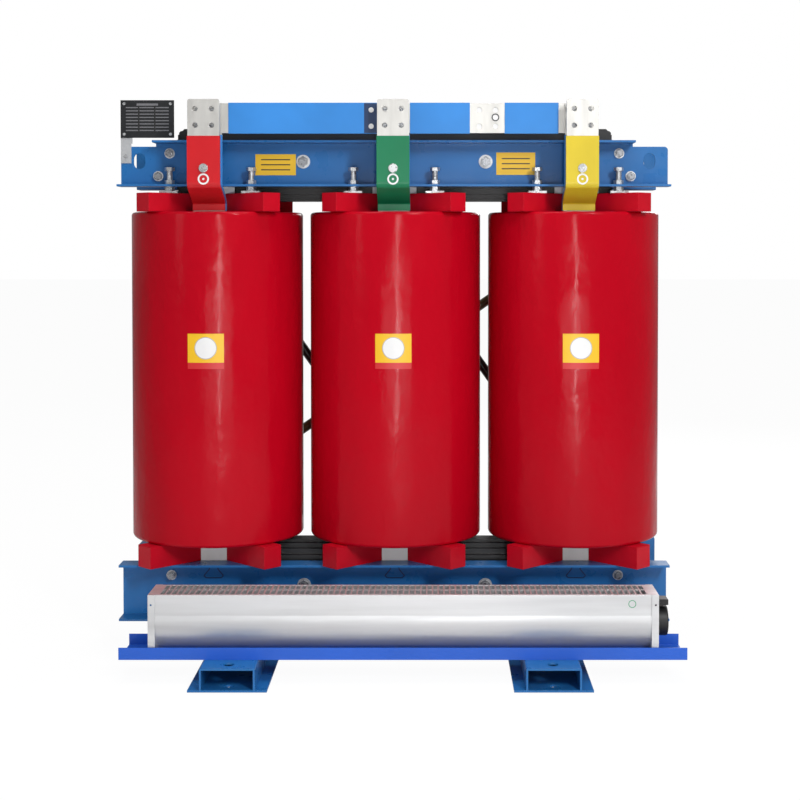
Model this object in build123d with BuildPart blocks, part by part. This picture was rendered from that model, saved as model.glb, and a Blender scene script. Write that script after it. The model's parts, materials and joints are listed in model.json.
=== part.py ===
"""Three-phase cast-resin dry-type transformer, about 1000 kVA, with a cross-flow cooling fan.

Millimetres. X runs along the row of coils, -Y is the low-voltage side with the busbars and the fan,
+Y is the high-voltage side with the delta links, +Z is up. The origin lies on the floor, below the
axis of the middle coil.
"""

import os
from math import atan2, cos, degrees, hypot, radians, sin

from build123d import *

# ---------------------------------------------------------------- driving dimensions
# coils
PITCH = 505.0  # coil axis to coil axis
HV_OUTER_R = 241.0
HV_INNER_R = 192.0
LV_OUTER_R = 176.0
LV_INNER_R = 118.0
COIL_BOTTOM = 300.0
COIL_HEIGHT = 911.0
COIL_EDGE_R = 9.0
LV_EDGE_R = 3.0
HV_BOSS_HALF = 221.0  # half width of the squared terminal side
HV_BOSS_Y = 262.0
HV_BOSS_END = 12.0  # from the coil's ends to the boss's ends
HV_BOSS_R = 40.0

# core
CORE_STEPS = [(204.0, 58.0), (190.0, 94.0), (166.0, 130.0), (136.0, 162.0), (92.0, 190.0)]
YOKE_GAP_BOTTOM = 17.0  # from the lower yoke's top up to the coil
YOKE_GAP_TOP = 32.0
LEG_TIP = 12.0  # the pointed corners of the mitred laminations

# clamps
SHEET = 6.0
PULL_PLATE = 5.0
PULL_PLATE_WIDTH = 60.0
BOARD = 4.0
BOARD_WIDTH = 122.0
CLAMP_OVERHANG = 150.0  # beyond the yokes' ends
CLAMP_FLANGE = 68.0
LOWER_CLAMP_HEIGHT = 154.0
UPPER_CLAMP_HEIGHT = 126.0
PAD_HEIGHT = 58.0
UPPER_PAD_HEIGHT = 49.0
STRIP = 2.0
PAD_WIDTH = 58.0
PAD_OUTER_R = 268.0  # how far the middle of a pad's outer end is from the coil axis
PAD_INNER_GAP = 1.0  # between the pads and the boards
BOLT_X = 112.0  # pressure bolts, from the coil axis
BOLT_Y = 140.0
PRESSURE_PLATE = (50.0, 50.0, 6.0)
PRESSURE_BOLT_R = 8.0
PRESSURE_BOLT_RISE = 37.0  # bare thread above the flange
NUT_HEIGHT = 12.0
LIFT_HOLE = (32.0, 44.0)
LIFT_HOLE_END = 51.0  # from the clamp's end
EAR_LENGTH = 97.0  # of each clamp's end, where the top flange stops short
EAR_DROP = 14.0
LIFT_HOLE_DROP = 40.0  # from the ear's top to the lifting hole's centre
REAR_EAR = (55.0, 28.0)

HOLE_GAP = 0.5  # clearance round every bolt or stud that passes through a piece
LARGE_BOLT_X = PITCH / 2
LARGE_BOLT_RISE = 0.56  # height as a share of the clamp's
LARGE_BOLT_R = 10.0
END_BOLTS = ((15.0, 0.74), (47.0, 0.24))  # beyond the yokes' ends, and height as a share
CLAMP_BOLT_R = 8.0
WASHER = 3.0
KEY_NECK = 24.0  # dovetail keys of the pull plates, seated in the lower clamps' webs
KEY_FLARE = 54.0
KEY_NECK_HEIGHT = 18.0
KEY_HEIGHT = 42.0
KEY_GAP = 0.5

# skids
SKID_GAUGE = 820.0
SKID_LENGTH = 1070.0
SKID_WIDTH = 140.0
SKID_PLATE_WIDTH = 200.0
SKID_HEIGHT = 60.0
SKID_WALL = 5.0
ANCHOR_Y = 497.0
ANCHOR_HOLE_R = 9.0
ACCESS_HOLE_R = 14.0
DAMPER = (110.0, 58.0, 20.0)
FOOT_PLATE = 6.0

# low-voltage busbars
BAR_WIDTH = 85.0
BAR_THICK = 8.0
SLEEVE = 1.5
PHASE_Y = -262.0
RISER_Y = -219.0
PHASE_FOOT_Y = -168.0
RISER_FOOT_Y = -140.0
BAR_BEND_LOW = 26.0  # the lower bend, above the coil
BAR_BEND_HIGH = 68.0
BAR_BEND_R = 12.0
BAR_TOP = 1509.0
BARE_END = 98.0
TERMINAL_PITCH = 44.0
TERMINAL_HOLE_R = 7.0
TERMINAL_EDGE = 26.0
NEUTRAL_HEIGHT = 80.0
NEUTRAL_DROP = 7.0  # below the phase bars' top
NEUTRAL_SLEEVE_END = 60.0  # bare length each side of a joint
NEUTRAL_WINDOW_X = 253.0
NEUTRAL_WINDOW = 94.0
STANDOFF_Z = 1325.0
STANDOFF_R = 19.0
STUD_R = 6.0

# high-voltage delta links
TERMINAL_Z = (405.0, 1110.0)
LINK_R = 14.0
LUG = 6.0
LUG_R = 20.0
COLLAR_R = 16.0
COLLAR = 17.0
LONG_COLLAR = 62.0
STUD_FREE = 30.0
TAP_X = 30.0
TAP_PITCH_Z = 50.0
TAP_R = 7.0

# nameplate
PLATE = (148.0, 104.0, 2.0)
PLATE_TOP = 1520.0
PLATE_STRIP = 32.0

# fan
TRAY_LEFT = -698.0
TRAY_RIGHT = 757.0
TRAY_FRONT = -457.0
TRAY_REAR = -319.0
TRAY_LIP = 31.0
TRAY_SHEET = 2.5
FAN_LEFT = -606.0
FAN_RIGHT = 667.0
FAN_FRONT = -450.0
FAN_REAR = -332.0
FAN_TOP = 225.0
FAN_CREASE_Z = 171.0
FAN_SHEET = 1.5
END_SHEET = 2.0
END_FLANGE = 18.0
ROTOR_Y = -389.0
ROTOR_Z = 146.0
ROTOR_R = 44.0
ROTOR_END_GAP = 12.0
BLADES = 16
BLADE_LENGTH = 14.0
BLADE_THICK = 1.6
ROTOR_DISCS = 6
ROTOR_DISC = 2.0
SHAFT_R = 6.0
SHAFT_CLEARANCE = 0.05
SHAFT_END = 14.0
GRILLE_SLOTS = 84
GRILLE_BAR = 4.0
MOTOR_R = 39.0
MOTOR_LENGTH = 28.0
LEAD_R = 2.2

# ---------------------------------------------------------------- worked out from them
PHASES = {"c": -PITCH, "b": 0.0, "a": PITCH}
COIL_TOP = COIL_BOTTOM + COIL_HEIGHT
YOKE_HEIGHT = CORE_STEPS[0][0]
CORE_HALF_Y = CORE_STEPS[-1][1] / 2
YOKE_END = PITCH + YOKE_HEIGHT / 2
CLAMP_LENGTH = 2 * (YOKE_END + CLAMP_OVERHANG)
LIFT_HOLE_X = CLAMP_LENGTH / 2 - LIFT_HOLE_END
LOWER_YOKE_Z = COIL_BOTTOM - YOKE_GAP_BOTTOM - YOKE_HEIGHT / 2
UPPER_YOKE_Z = COIL_TOP + YOKE_GAP_TOP + YOKE_HEIGHT / 2
PULL_Y = CORE_HALF_Y + PULL_PLATE
WEB_Y = PULL_Y + BOARD  # inner face of each clamp's web
FLANGE_Y = WEB_Y + CLAMP_FLANGE
PAD_BOTTOM = COIL_BOTTOM - STRIP - PAD_HEIGHT
LOWER_CLAMP_Z = PAD_BOTTOM - LOWER_CLAMP_HEIGHT
UPPER_PAD_TOP = COIL_TOP + STRIP + UPPER_PAD_HEIGHT
PAD_INNER_Y = WEB_Y + PAD_INNER_GAP
UPPER_CLAMP_Z = UPPER_PAD_TOP + PRESSURE_PLATE[2] + NUT_HEIGHT
UPPER_CLAMP_TOP = UPPER_CLAMP_Z + UPPER_CLAMP_HEIGHT
EAR_TOP = UPPER_CLAMP_TOP - EAR_DROP
LIFT_HOLE_Z = EAR_TOP - LIFT_HOLE_DROP
SIDES = (-1, 1)

os.makedirs("parts", exist_ok=True)


def save(part, name):
    """Label a finished piece and write it as one STEP file."""
    part.label = name
    export_step(part, f"parts/{name}.step")


def group(solids, name):
    """Several separate solids that share one node."""
    save(Compound(children=list(solids)), name)


# ---------------------------------------------------------------- repeated small pieces
def box(size, centre):
    with BuildPart() as piece:
        with Locations(centre):
            Box(*size)
    return piece.part


def rod(radius, start, end):
    """A round bar from one point to another."""
    axis = Vector(*end) - Vector(*start)
    with BuildPart() as piece:
        with BuildSketch(Plane(origin=start, z_dir=axis)):
            Circle(radius)
        extrude(amount=axis.length)
    return piece.part


def hexagon(across_flats, height, start, direction):
    """A nut or bolt head that stands on `start` and grows along `direction`."""
    with BuildPart() as piece:
        with BuildSketch(Plane(origin=start, z_dir=direction)):
            RegularPolygon(across_flats / 2, 6, major_radius=False)
        extrude(amount=height)
    return piece.part


def ring(outer_r, inner_r, height, start, direction):
    with BuildPart() as piece:
        with BuildSketch(Plane(origin=start, z_dir=direction)):
            Circle(outer_r)
            Circle(inner_r, mode=Mode.SUBTRACT)
        extrude(amount=height)
    return piece.part


def standoff_hole(x):
    """Hole through a bar, its sleeve and a board for the stud that holds them."""
    with BuildPart() as hole:
        with BuildSketch(Plane.XZ):
            with Locations((x, STANDOFF_Z)):
                Circle(STUD_R + HOLE_GAP)
        extrude(amount=2 * abs(PHASE_Y))
    return hole.part


def dovetail(x, side, reach, gap=0.0):
    """Dovetail key of a pull plate; with a gap, the seat it hooks into. It hangs flare down."""
    top = PAD_BOTTOM - SHEET
    with BuildPart() as key:
        with BuildSketch(Plane.XZ.offset(-side * PULL_Y)):
            with BuildLine():
                Polyline(
                    (x - KEY_NECK / 2, top),
                    (x - KEY_NECK / 2, top - KEY_NECK_HEIGHT),
                    (x - KEY_FLARE / 2, top - KEY_HEIGHT + 6),
                    (x - KEY_FLARE / 2 + 6, top - KEY_HEIGHT),
                    (x + KEY_FLARE / 2 - 6, top - KEY_HEIGHT),
                    (x + KEY_FLARE / 2, top - KEY_HEIGHT + 6),
                    (x + KEY_NECK / 2, top - KEY_NECK_HEIGHT),
                    (x + KEY_NECK / 2, top),
                    close=True,
                )
            make_face()
            if gap:
                offset(amount=gap)
        extrude(amount=-side * reach)
    return key.part


# ---------------------------------------------------------------- core
def stepped_section(plane, swap=False):
    """The stepped stack of lamination packets that fills the core circle."""
    with BuildSketch(plane) as section:
        for width, depth in CORE_STEPS:
            Rectangle(depth, width) if swap else Rectangle(width, depth)
    return section


def core_leg(x):
    bottom = LOWER_YOKE_Z + YOKE_HEIGHT / 2
    top = UPPER_YOKE_Z - YOKE_HEIGHT / 2
    section = stepped_section(Plane((x, 0, bottom)))
    with BuildPart() as leg:
        extrude(section.sketch, amount=top - bottom)
    return leg.part


def yoke(z, bolt_z):
    """Yoke with blunted lamination tips and a hole between the legs for each large bolt."""
    half = YOKE_END
    start = Plane(origin=(-half, 0, z), x_dir=(0, 1, 0), z_dir=(1, 0, 0))
    section = stepped_section(start, swap=True)
    with BuildPart() as part:
        extrude(section.sketch, amount=2 * half)
        with BuildSketch(Plane.XZ) as cut:
            for side in SIDES:
                with BuildLine():
                    Polyline(
                        (side * (half - LEG_TIP), z + YOKE_HEIGHT / 2),
                        (side * half, z + YOKE_HEIGHT / 2 - LEG_TIP),
                        (side * half, z + YOKE_HEIGHT / 2),
                        close=True,
                    )
                make_face()
        extrude(amount=CORE_HALF_Y, both=True, mode=Mode.SUBTRACT)
        with BuildSketch(Plane.XZ):
            with Locations((-LARGE_BOLT_X, bolt_z), (LARGE_BOLT_X, bolt_z)):
                Circle(LARGE_BOLT_R + HOLE_GAP)
        extrude(amount=CORE_HALF_Y, both=True, mode=Mode.SUBTRACT)
    return part.part


for phase, x in PHASES.items():
    save(core_leg(x), f"core_leg_{phase}")
LOWER_BOLT_Z = LOWER_CLAMP_Z + LARGE_BOLT_RISE * LOWER_CLAMP_HEIGHT
UPPER_BOLT_Z = UPPER_CLAMP_Z + LARGE_BOLT_RISE * UPPER_CLAMP_HEIGHT
save(yoke(LOWER_YOKE_Z, LOWER_BOLT_Z), "bottom_yoke")
save(yoke(UPPER_YOKE_Z, UPPER_BOLT_Z), "top_yoke")


# ---------------------------------------------------------------- windings
def lv_winding(x):
    with BuildPart() as winding:
        with BuildSketch(Plane.XY.offset(COIL_BOTTOM)):
            with Locations((x, 0)):
                Circle(LV_OUTER_R)
                Circle(LV_INNER_R, mode=Mode.SUBTRACT)
        extrude(amount=COIL_HEIGHT)
        chamfer(winding.edges().filter_by(GeomType.CIRCLE), LV_EDGE_R)
    return winding.part


def hv_coil(x):
    """Cast coil: a thick tube with rounded ends and a flat boss for the terminals."""
    boss_height = COIL_HEIGHT - 2 * HV_BOSS_END
    with BuildPart() as coil:
        with BuildSketch(Plane.XY.offset(COIL_BOTTOM)):
            with Locations((x, 0)):
                Circle(HV_OUTER_R)
        extrude(amount=COIL_HEIGHT)
        fillet(coil.edges().filter_by(GeomType.CIRCLE), COIL_EDGE_R)
        with BuildSketch(Plane.XY.offset(COIL_BOTTOM + HV_BOSS_END)):
            with Locations((x, HV_BOSS_Y / 2)):
                Rectangle(2 * HV_BOSS_HALF, HV_BOSS_Y)
        extrude(amount=boss_height)
        rim = coil.faces().sort_by(Axis.Y)[-1].edges()
        fillet(rim.filter_by(Axis.Z), HV_BOSS_R)
        with BuildSketch(Plane.XY.offset(COIL_BOTTOM)):
            with Locations((x, 0)):
                Circle(HV_INNER_R)
        extrude(amount=COIL_HEIGHT, mode=Mode.SUBTRACT)
        bore_rims = coil.edges().filter_by(GeomType.CIRCLE)
        chamfer([e for e in bore_rims if abs(e.radius - HV_INNER_R) < 0.01], LV_EDGE_R)
    return coil.part


for phase, x in PHASES.items():
    save(lv_winding(x), f"lv_winding_{phase}")
    save(hv_coil(x), f"hv_coil_{phase}")


# ---------------------------------------------------------------- pads between coils and clamps
def pad(x, bottom, height, side_x, side_y):
    """A block set at 45 degrees, so that its middle passes under a pressure bolt."""
    offset = BOLT_Y - BOLT_X
    outer = (PAD_OUTER_R / 2**0.5, PAD_OUTER_R / 2**0.5)
    middle = ((outer[0] - offset / 2 + BOLT_X) / 2, (outer[1] + offset / 2 + BOLT_Y) / 2)
    length = 2 * hypot(middle[0] - BOLT_X, middle[1] - BOLT_Y) + 90
    reach = (middle[0] + (hypot(*outer) - hypot(*middle) - length / 2) / 2**0.5,
             middle[1] + (hypot(*outer) - hypot(*middle) - length / 2) / 2**0.5)
    with BuildPart() as block:
        with BuildSketch(Plane.XY.offset(bottom)):
            with Locations((x + side_x * reach[0], side_y * reach[1])):
                Rectangle(length, PAD_WIDTH, rotation=45 * side_x * side_y)
            with Locations((x, 0)):
                Rectangle(2 * PAD_OUTER_R, 2 * PAD_INNER_Y, mode=Mode.SUBTRACT)
        extrude(amount=height)
    return block.part


def all_pads(bottom, height):
    return [
        pad(x, bottom, height, side_x, side_y)
        for x in PHASES.values()
        for side_x in SIDES
        for side_y in SIDES
    ]


group(all_pads(PAD_BOTTOM, PAD_HEIGHT), "lower_pads")
group(all_pads(COIL_TOP + STRIP, UPPER_PAD_HEIGHT), "upper_pads")
group(all_pads(COIL_BOTTOM - STRIP, STRIP) + all_pads(COIL_TOP, STRIP), "pad_strips")


# ---------------------------------------------------------------- yoke clamps


def clamp_bolt_places(z, height):
    """(x, z, bolt radius) of every bolt that draws a front and a rear clamp together."""
    places = [(side * LARGE_BOLT_X, z + LARGE_BOLT_RISE * height, LARGE_BOLT_R) for side in SIDES]
    for beyond, share in END_BOLTS:
        x = YOKE_END + beyond
        places += [(side * x, z + share * height, CLAMP_BOLT_R) for side in SIDES]
    return places


def channel_clamp(z, height, side):
    """Folded channel, its web against the yoke and both flanges turned outwards."""
    web = side * WEB_Y
    with BuildPart() as clamp:
        with BuildSketch(Plane.YZ.offset(-CLAMP_LENGTH / 2)):
            with BuildLine():
                Polyline(
                    (side * FLANGE_Y, z),
                    (web, z),
                    (web, z + height),
                    (side * FLANGE_Y, z + height),
                    (side * FLANGE_Y, z + height - SHEET),
                    (web + side * SHEET, z + height - SHEET),
                    (web + side * SHEET, z + SHEET),
                    (side * FLANGE_Y, z + SHEET),
                    close=True,
                )
            make_face()
        extrude(amount=CLAMP_LENGTH)
        fillet(clamp.edges().filter_by(Axis.X).filter_by_position(
            Axis.Y, *sorted((web - 0.1, web + 0.1))), SHEET * 0.9)
        with BuildSketch(Plane.XZ.offset(-side * WEB_Y)):
            for x, bolt_z, radius in clamp_bolt_places(z, height):
                with Locations((x, bolt_z)):
                    Circle(radius + HOLE_GAP)
        extrude(amount=-side * SHEET, mode=Mode.SUBTRACT)
    return clamp.part


def upper_clamp(side):
    """Its top flange stops short of the ends, where lifting ears with long holes stand."""
    middle_y = side * (WEB_Y + CLAMP_FLANGE / 2)
    with BuildPart() as clamp:
        add(channel_clamp(UPPER_CLAMP_Z, UPPER_CLAMP_HEIGHT, side))
        for end in SIDES:
            with Locations((end * (CLAMP_LENGTH - EAR_LENGTH) / 2, middle_y, UPPER_CLAMP_TOP)):
                Box(EAR_LENGTH, CLAMP_FLANGE + 1, 2 * EAR_DROP, mode=Mode.SUBTRACT)
            with BuildSketch(Plane.XZ):
                with Locations((end * LIFT_HOLE_X, LIFT_HOLE_Z)):
                    SlotOverall(LIFT_HOLE[1], LIFT_HOLE[0], rotation=90)
            extrude(amount=-side * FLANGE_Y, mode=Mode.SUBTRACT)
        corners = clamp.edges().filter_by(Axis.Y).filter_by_position(Axis.Z, EAR_TOP - 0.1, EAR_TOP + 0.1)
        fillet([e for e in corners if abs(abs(e.center().X) - CLAMP_LENGTH / 2) < 0.1], 10)
        with BuildSketch(Plane.XY.offset(UPPER_CLAMP_Z)):
            for x in PHASES.values():
                with Locations(*((x + s * BOLT_X, side * BOLT_Y) for s in SIDES)):
                    Circle(PRESSURE_BOLT_R + HOLE_GAP)
        extrude(amount=SHEET, mode=Mode.SUBTRACT)
        if side < 0:
            for x in PHASES.values():
                add(standoff_hole(x), mode=Mode.SUBTRACT)
    return clamp.part


def lower_clamp(side):
    """Carries the coils on its top flange and stands on the skids by its bottom flange."""
    foot_y = side * FOOT_BOLT_Y
    with BuildPart() as clamp:
        add(channel_clamp(LOWER_CLAMP_Z, LOWER_CLAMP_HEIGHT, side))
        with BuildSketch(Plane.XY.offset(LOWER_CLAMP_Z)):
            with Locations(*((s * SKID_GAUGE / 2, foot_y) for s in SIDES)):
                Circle(FOOT_BOLT_R + HOLE_GAP)
        extrude(amount=SHEET, mode=Mode.SUBTRACT)
        for x in PHASES.values():
            add(dovetail(x, side, BOARD + SHEET + 1, KEY_GAP), mode=Mode.SUBTRACT)
        if side > 0:
            width, rise = REAR_EAR
            with BuildSketch(Plane.XZ.offset(-WEB_Y)):
                with Locations((CLAMP_LENGTH / 2 - width / 2, PAD_BOTTOM + rise / 2 - SHEET)):
                    Rectangle(width, rise + 2 * SHEET)
            extrude(amount=-SHEET)
            top = clamp.edges().filter_by(Axis.Y).sort_by(Axis.Z)[-2:]
            fillet(top.sort_by(Axis.X)[-1], 12)
    return clamp.part


FOOT_BOLT_R = 8.0
FOOT_BOLT_Y = WEB_Y + SHEET + (CLAMP_FLANGE - SHEET) / 2

save(upper_clamp(-1), "upper_clamp_front")
save(upper_clamp(1), "upper_clamp_rear")
save(lower_clamp(-1), "lower_clamp_front")
save(lower_clamp(1), "lower_clamp_rear")


def boards_and_plates():
    """Pull plates up each leg, and the white boards that keep the clamps off the yokes."""
    boards, plates = [], []
    low = LOWER_CLAMP_Z
    for x in PHASES.values():
        for side in SIDES:
            plate_y = side * (CORE_HALF_Y + PULL_PLATE / 2)
            board_y = side * (PULL_Y + BOARD / 2)
            height = UPPER_CLAMP_TOP - low
            with BuildPart() as plate:
                add(box((PULL_PLATE_WIDTH, PULL_PLATE, height), (x, plate_y, low + height / 2)))
                add(dovetail(x, side, BOARD + SHEET))
            plates.append(plate.part)
            for bottom, top in (
                (low, COIL_BOTTOM - STRIP),
                (COIL_TOP + STRIP, UPPER_CLAMP_TOP),
            ):
                size = (BOARD_WIDTH, BOARD, top - bottom)
                board = box(size, (x, board_y, (bottom + top) / 2))
                if bottom == low:
                    board -= dovetail(x, side, BOARD + 1, KEY_GAP)
                elif side < 0:
                    board -= standoff_hole(x)
                boards.append(board)
    return boards, plates


boards, plates = boards_and_plates()
group(boards, "yoke_boards")
group(plates, "pull_plates")


def clamp_fasteners():
    """Through bolts with nuts, and the washers under them."""
    bolts, washers = [], []
    for z, height in (
        (LOWER_CLAMP_Z, LOWER_CLAMP_HEIGHT),
        (UPPER_CLAMP_Z, UPPER_CLAMP_HEIGHT),
    ):
        for x, bolt_z, radius in clamp_bolt_places(z, height):
            washer_r = 19.0 if radius == LARGE_BOLT_R else 14.0
            face = WEB_Y + SHEET
            head = face + WASHER
            with BuildPart() as bolt:
                add(rod(radius, (x, -head - 14, bolt_z), (x, head + 18, bolt_z)))
                add(hexagon(radius * 2.6, 9, (x, -head, bolt_z), (0, -1, 0)))
                add(hexagon(radius * 2.6, 11, (x, head, bolt_z), (0, 1, 0)))
            bolts.append(bolt.part)
            for side in SIDES:
                washers.append(
                    ring(washer_r, radius, WASHER, (x, side * face, bolt_z), (0, side, 0))
                )
    return bolts, washers


bolts, washers = clamp_fasteners()
group(bolts, "clamp_bolts")
group(washers, "clamp_washers")


def pressure_set():
    """Bolts through the upper clamps' lower flanges that press the coils down."""
    bolts, nuts, plates = [], [], []
    plate_z = UPPER_PAD_TOP
    foot = plate_z + PRESSURE_PLATE[2]
    flange_top = UPPER_CLAMP_Z + SHEET
    head = flange_top + PRESSURE_BOLT_RISE
    for x in PHASES.values():
        for side_x in SIDES:
            for side_y in SIDES:
                bolt_x, bolt_y = x + side_x * BOLT_X, side_y * BOLT_Y
                with BuildPart() as bolt:
                    add(rod(PRESSURE_BOLT_R, (bolt_x, bolt_y, foot), (bolt_x, bolt_y, head)))
                    add(hexagon(24, 10, (bolt_x, bolt_y, head), (0, 0, 1)))
                bolts.append(bolt.part)
                for start in (foot, flange_top):
                    with BuildPart() as nut:
                        add(hexagon(24, NUT_HEIGHT, (bolt_x, bolt_y, start), (0, 0, 1)))
                        with BuildSketch(Plane.XY.offset(start)):
                            with Locations((bolt_x, bolt_y)):
                                Circle(PRESSURE_BOLT_R)
                        extrude(amount=NUT_HEIGHT, mode=Mode.SUBTRACT)
                    nuts.append(nut.part)
                centre = (bolt_x, bolt_y, plate_z + PRESSURE_PLATE[2] / 2)
                plates.append(box(PRESSURE_PLATE, centre))
    return bolts, nuts, plates


bolts, nuts, plates = pressure_set()
group(bolts, "pressure_bolts")
group(nuts, "pressure_nuts")
group(plates, "pressure_plates")


# ---------------------------------------------------------------- skids
def skid(side):
    """Inverted channel welded on a wider base plate, with anchor holes at both ends."""
    x = side * SKID_GAUGE / 2
    with BuildPart() as part:
        with BuildSketch(Plane.XZ.offset(-SKID_LENGTH / 2)):
            with Locations((x, SKID_WALL / 2)):
                Rectangle(SKID_PLATE_WIDTH, SKID_WALL)
            with Locations((x, SKID_HEIGHT / 2)):
                Rectangle(SKID_WIDTH, SKID_HEIGHT)
                Rectangle(SKID_WIDTH - 2 * SKID_WALL, SKID_HEIGHT - 2 * SKID_WALL, mode=Mode.SUBTRACT)
        extrude(amount=SKID_LENGTH)
        top_edges = part.edges().filter_by(Axis.Y).group_by(Axis.Z)[-1]
        fillet(top_edges, SKID_WALL * 0.9)
        with BuildSketch(Plane.XY):
            with Locations((x, -ANCHOR_Y), (x, ANCHOR_Y)):
                Circle(ANCHOR_HOLE_R)
        extrude(amount=SKID_WALL, mode=Mode.SUBTRACT)
        with BuildSketch(Plane.XY.offset(SKID_HEIGHT - SKID_WALL)):
            with Locations((x, -ANCHOR_Y), (x, ANCHOR_Y)):
                Circle(ACCESS_HOLE_R)
            with Locations((x, -FOOT_BOLT_Y), (x, FOOT_BOLT_Y)):
                Circle(FOOT_BOLT_R + HOLE_GAP)
        extrude(amount=SKID_WALL, mode=Mode.SUBTRACT)
    return part.part


def damper_set():
    """Rubber dampers and steel plates between the skids and the lower clamps."""
    dampers, feet, bolts = [], [], []
    for side_x in SIDES:
        for side_y in SIDES:
            x, y = side_x * SKID_GAUGE / 2, side_y * FOOT_BOLT_Y
            for pieces, size, z in (
                (dampers, DAMPER, SKID_HEIGHT),
                (feet, (DAMPER[0], DAMPER[1], FOOT_PLATE), SKID_HEIGHT + DAMPER[2]),
            ):
                with BuildPart() as piece:
                    with BuildSketch(Plane.XY.offset(z)):
                        with Locations((x, y)):
                            Rectangle(size[0], size[1])
                            Circle(FOOT_BOLT_R, mode=Mode.SUBTRACT)
                    extrude(amount=size[2])
                pieces.append(piece.part)
            top = LOWER_CLAMP_Z + SHEET
            inside = SKID_HEIGHT - SKID_WALL
            with BuildPart() as bolt:
                add(rod(FOOT_BOLT_R, (x, y, inside - 14), (x, y, top)))
                add(hexagon(24, 10, (x, y, top), (0, 0, 1)))
                add(hexagon(24, 12, (x, y, inside), (0, 0, -1)))
            bolts.append(bolt.part)
    return dampers, feet, bolts


save(skid(-1), "skid_left")
save(skid(1), "skid_right")
dampers, feet, bolts = damper_set()
group(dampers, "damping_pads")
group(feet, "clamp_feet")
group(bolts, "foot_bolts")


# ---------------------------------------------------------------- low-voltage busbars
def bar_path(foot_y, top_y, bottom, top):
    """Centreline of a bar that steps out in front of the upper clamp, from coil to terminal."""
    points = [
        (foot_y, COIL_TOP),
        (foot_y, COIL_TOP + BAR_BEND_LOW),
        (top_y, COIL_TOP + BAR_BEND_HIGH),
        (top_y, top),
    ]
    if bottom > COIL_TOP:
        points[0] = (foot_y, bottom)
    return points


def bent_bar(x, width, thick, points):
    with BuildPart() as bar:
        with BuildSketch(Plane.YZ.offset(x - width / 2)):
            with BuildLine():
                FilletPolyline(*points, radius=BAR_BEND_R)
            trace(line_width=thick)
        extrude(amount=width)
    return bar.part


def phase_bar(x):
    path = bar_path(PHASE_FOOT_Y, PHASE_Y, 0, BAR_TOP)
    hole_z = BAR_TOP - TERMINAL_EDGE - TERMINAL_PITCH / 2
    with BuildPart() as bar:
        add(bent_bar(x, BAR_WIDTH, BAR_THICK, path))
        fillet(bar.edges().filter_by(Axis.Y).group_by(Axis.Z)[-1], 6)
        with BuildSketch(Plane.XZ):
            with Locations((x, hole_z)):
                with GridLocations(TERMINAL_PITCH, TERMINAL_PITCH, 2, 2):
                    Circle(TERMINAL_HOLE_R)
        extrude(amount=2 * abs(PHASE_Y), mode=Mode.SUBTRACT)
        add(standoff_hole(x), mode=Mode.SUBTRACT)
    return bar.part


def sleeve(x, foot_y, top_y, top):
    """Shrunk tube over a bar, from just above the coil to where the bar is left bare."""
    low = COIL_TOP + 3
    path = bar_path(foot_y, top_y, low, top)
    with BuildPart() as tube:
        add(bent_bar(x, BAR_WIDTH + 2 * SLEEVE, BAR_THICK + 2 * SLEEVE, path))
        add(bent_bar(x, BAR_WIDTH, BAR_THICK, path), mode=Mode.SUBTRACT)
        add(standoff_hole(x), mode=Mode.SUBTRACT)
    return tube.part


NEUTRAL_TOP = BAR_TOP - NEUTRAL_DROP
NEUTRAL_Z = NEUTRAL_TOP - NEUTRAL_HEIGHT / 2
NEUTRAL_FRONT = RISER_Y + BAR_THICK / 2
JOINT_PITCH = 40.0
JOINT_BOLT_R = 5.0


def neutral_riser(x):
    path = bar_path(RISER_FOOT_Y, RISER_Y, 0, NEUTRAL_TOP)
    with BuildPart() as bar:
        add(bent_bar(x, BAR_WIDTH, BAR_THICK, path))
        add(standoff_hole(x), mode=Mode.SUBTRACT)
        add(joint_holes([x]), mode=Mode.SUBTRACT)
    return bar.part


def joint_holes(places):
    with BuildPart() as holes:
        with BuildSketch(Plane.XZ):
            for x in places:
                with Locations((x, NEUTRAL_Z)):
                    with GridLocations(JOINT_PITCH, JOINT_PITCH, 2, 2):
                        Circle(JOINT_BOLT_R)
        extrude(amount=2 * abs(PHASE_Y))
    return holes.part


def neutral_bar():
    """Flat bar that joins the three windings' ends, with a four-hole terminal of its own."""
    length = 2 * PITCH + BAR_WIDTH
    y = NEUTRAL_FRONT + BAR_THICK / 2
    with BuildPart() as bar:
        with Locations((0, y, NEUTRAL_Z)):
            Box(length, BAR_THICK, NEUTRAL_HEIGHT)
        add(joint_holes(PHASES.values()), mode=Mode.SUBTRACT)
        with BuildSketch(Plane.XZ):
            with Locations((NEUTRAL_WINDOW_X, NEUTRAL_Z)):
                with GridLocations(TERMINAL_PITCH, TERMINAL_PITCH, 2, 2):
                    Circle(TERMINAL_HOLE_R)
        extrude(amount=2 * abs(PHASE_Y), mode=Mode.SUBTRACT)
    return bar.part


def neutral_sleeves():
    y = NEUTRAL_FRONT + BAR_THICK / 2
    window = (NEUTRAL_WINDOW_X - NEUTRAL_WINDOW / 2, NEUTRAL_WINDOW_X + NEUTRAL_WINDOW / 2)
    spans = [
        (-PITCH + NEUTRAL_SLEEVE_END, -BAR_WIDTH / 2 - 2),
        (BAR_WIDTH / 2 + 2, window[0]),
        (window[1], PITCH - NEUTRAL_SLEEVE_END),
    ]
    tubes = []
    for low, high in spans:
        with BuildPart() as tube:
            with Locations(((low + high) / 2, y, NEUTRAL_Z)):
                Box(high - low, BAR_THICK + 2 * SLEEVE, NEUTRAL_HEIGHT + 2 * SLEEVE)
                Box(high - low, BAR_THICK, NEUTRAL_HEIGHT, mode=Mode.SUBTRACT)
        tubes.append(tube.part)
    for x in PHASES.values():
        top = NEUTRAL_TOP - NEUTRAL_HEIGHT - 6
        tubes.append(sleeve(x, RISER_FOOT_Y, RISER_Y, top))
    return tubes


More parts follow.
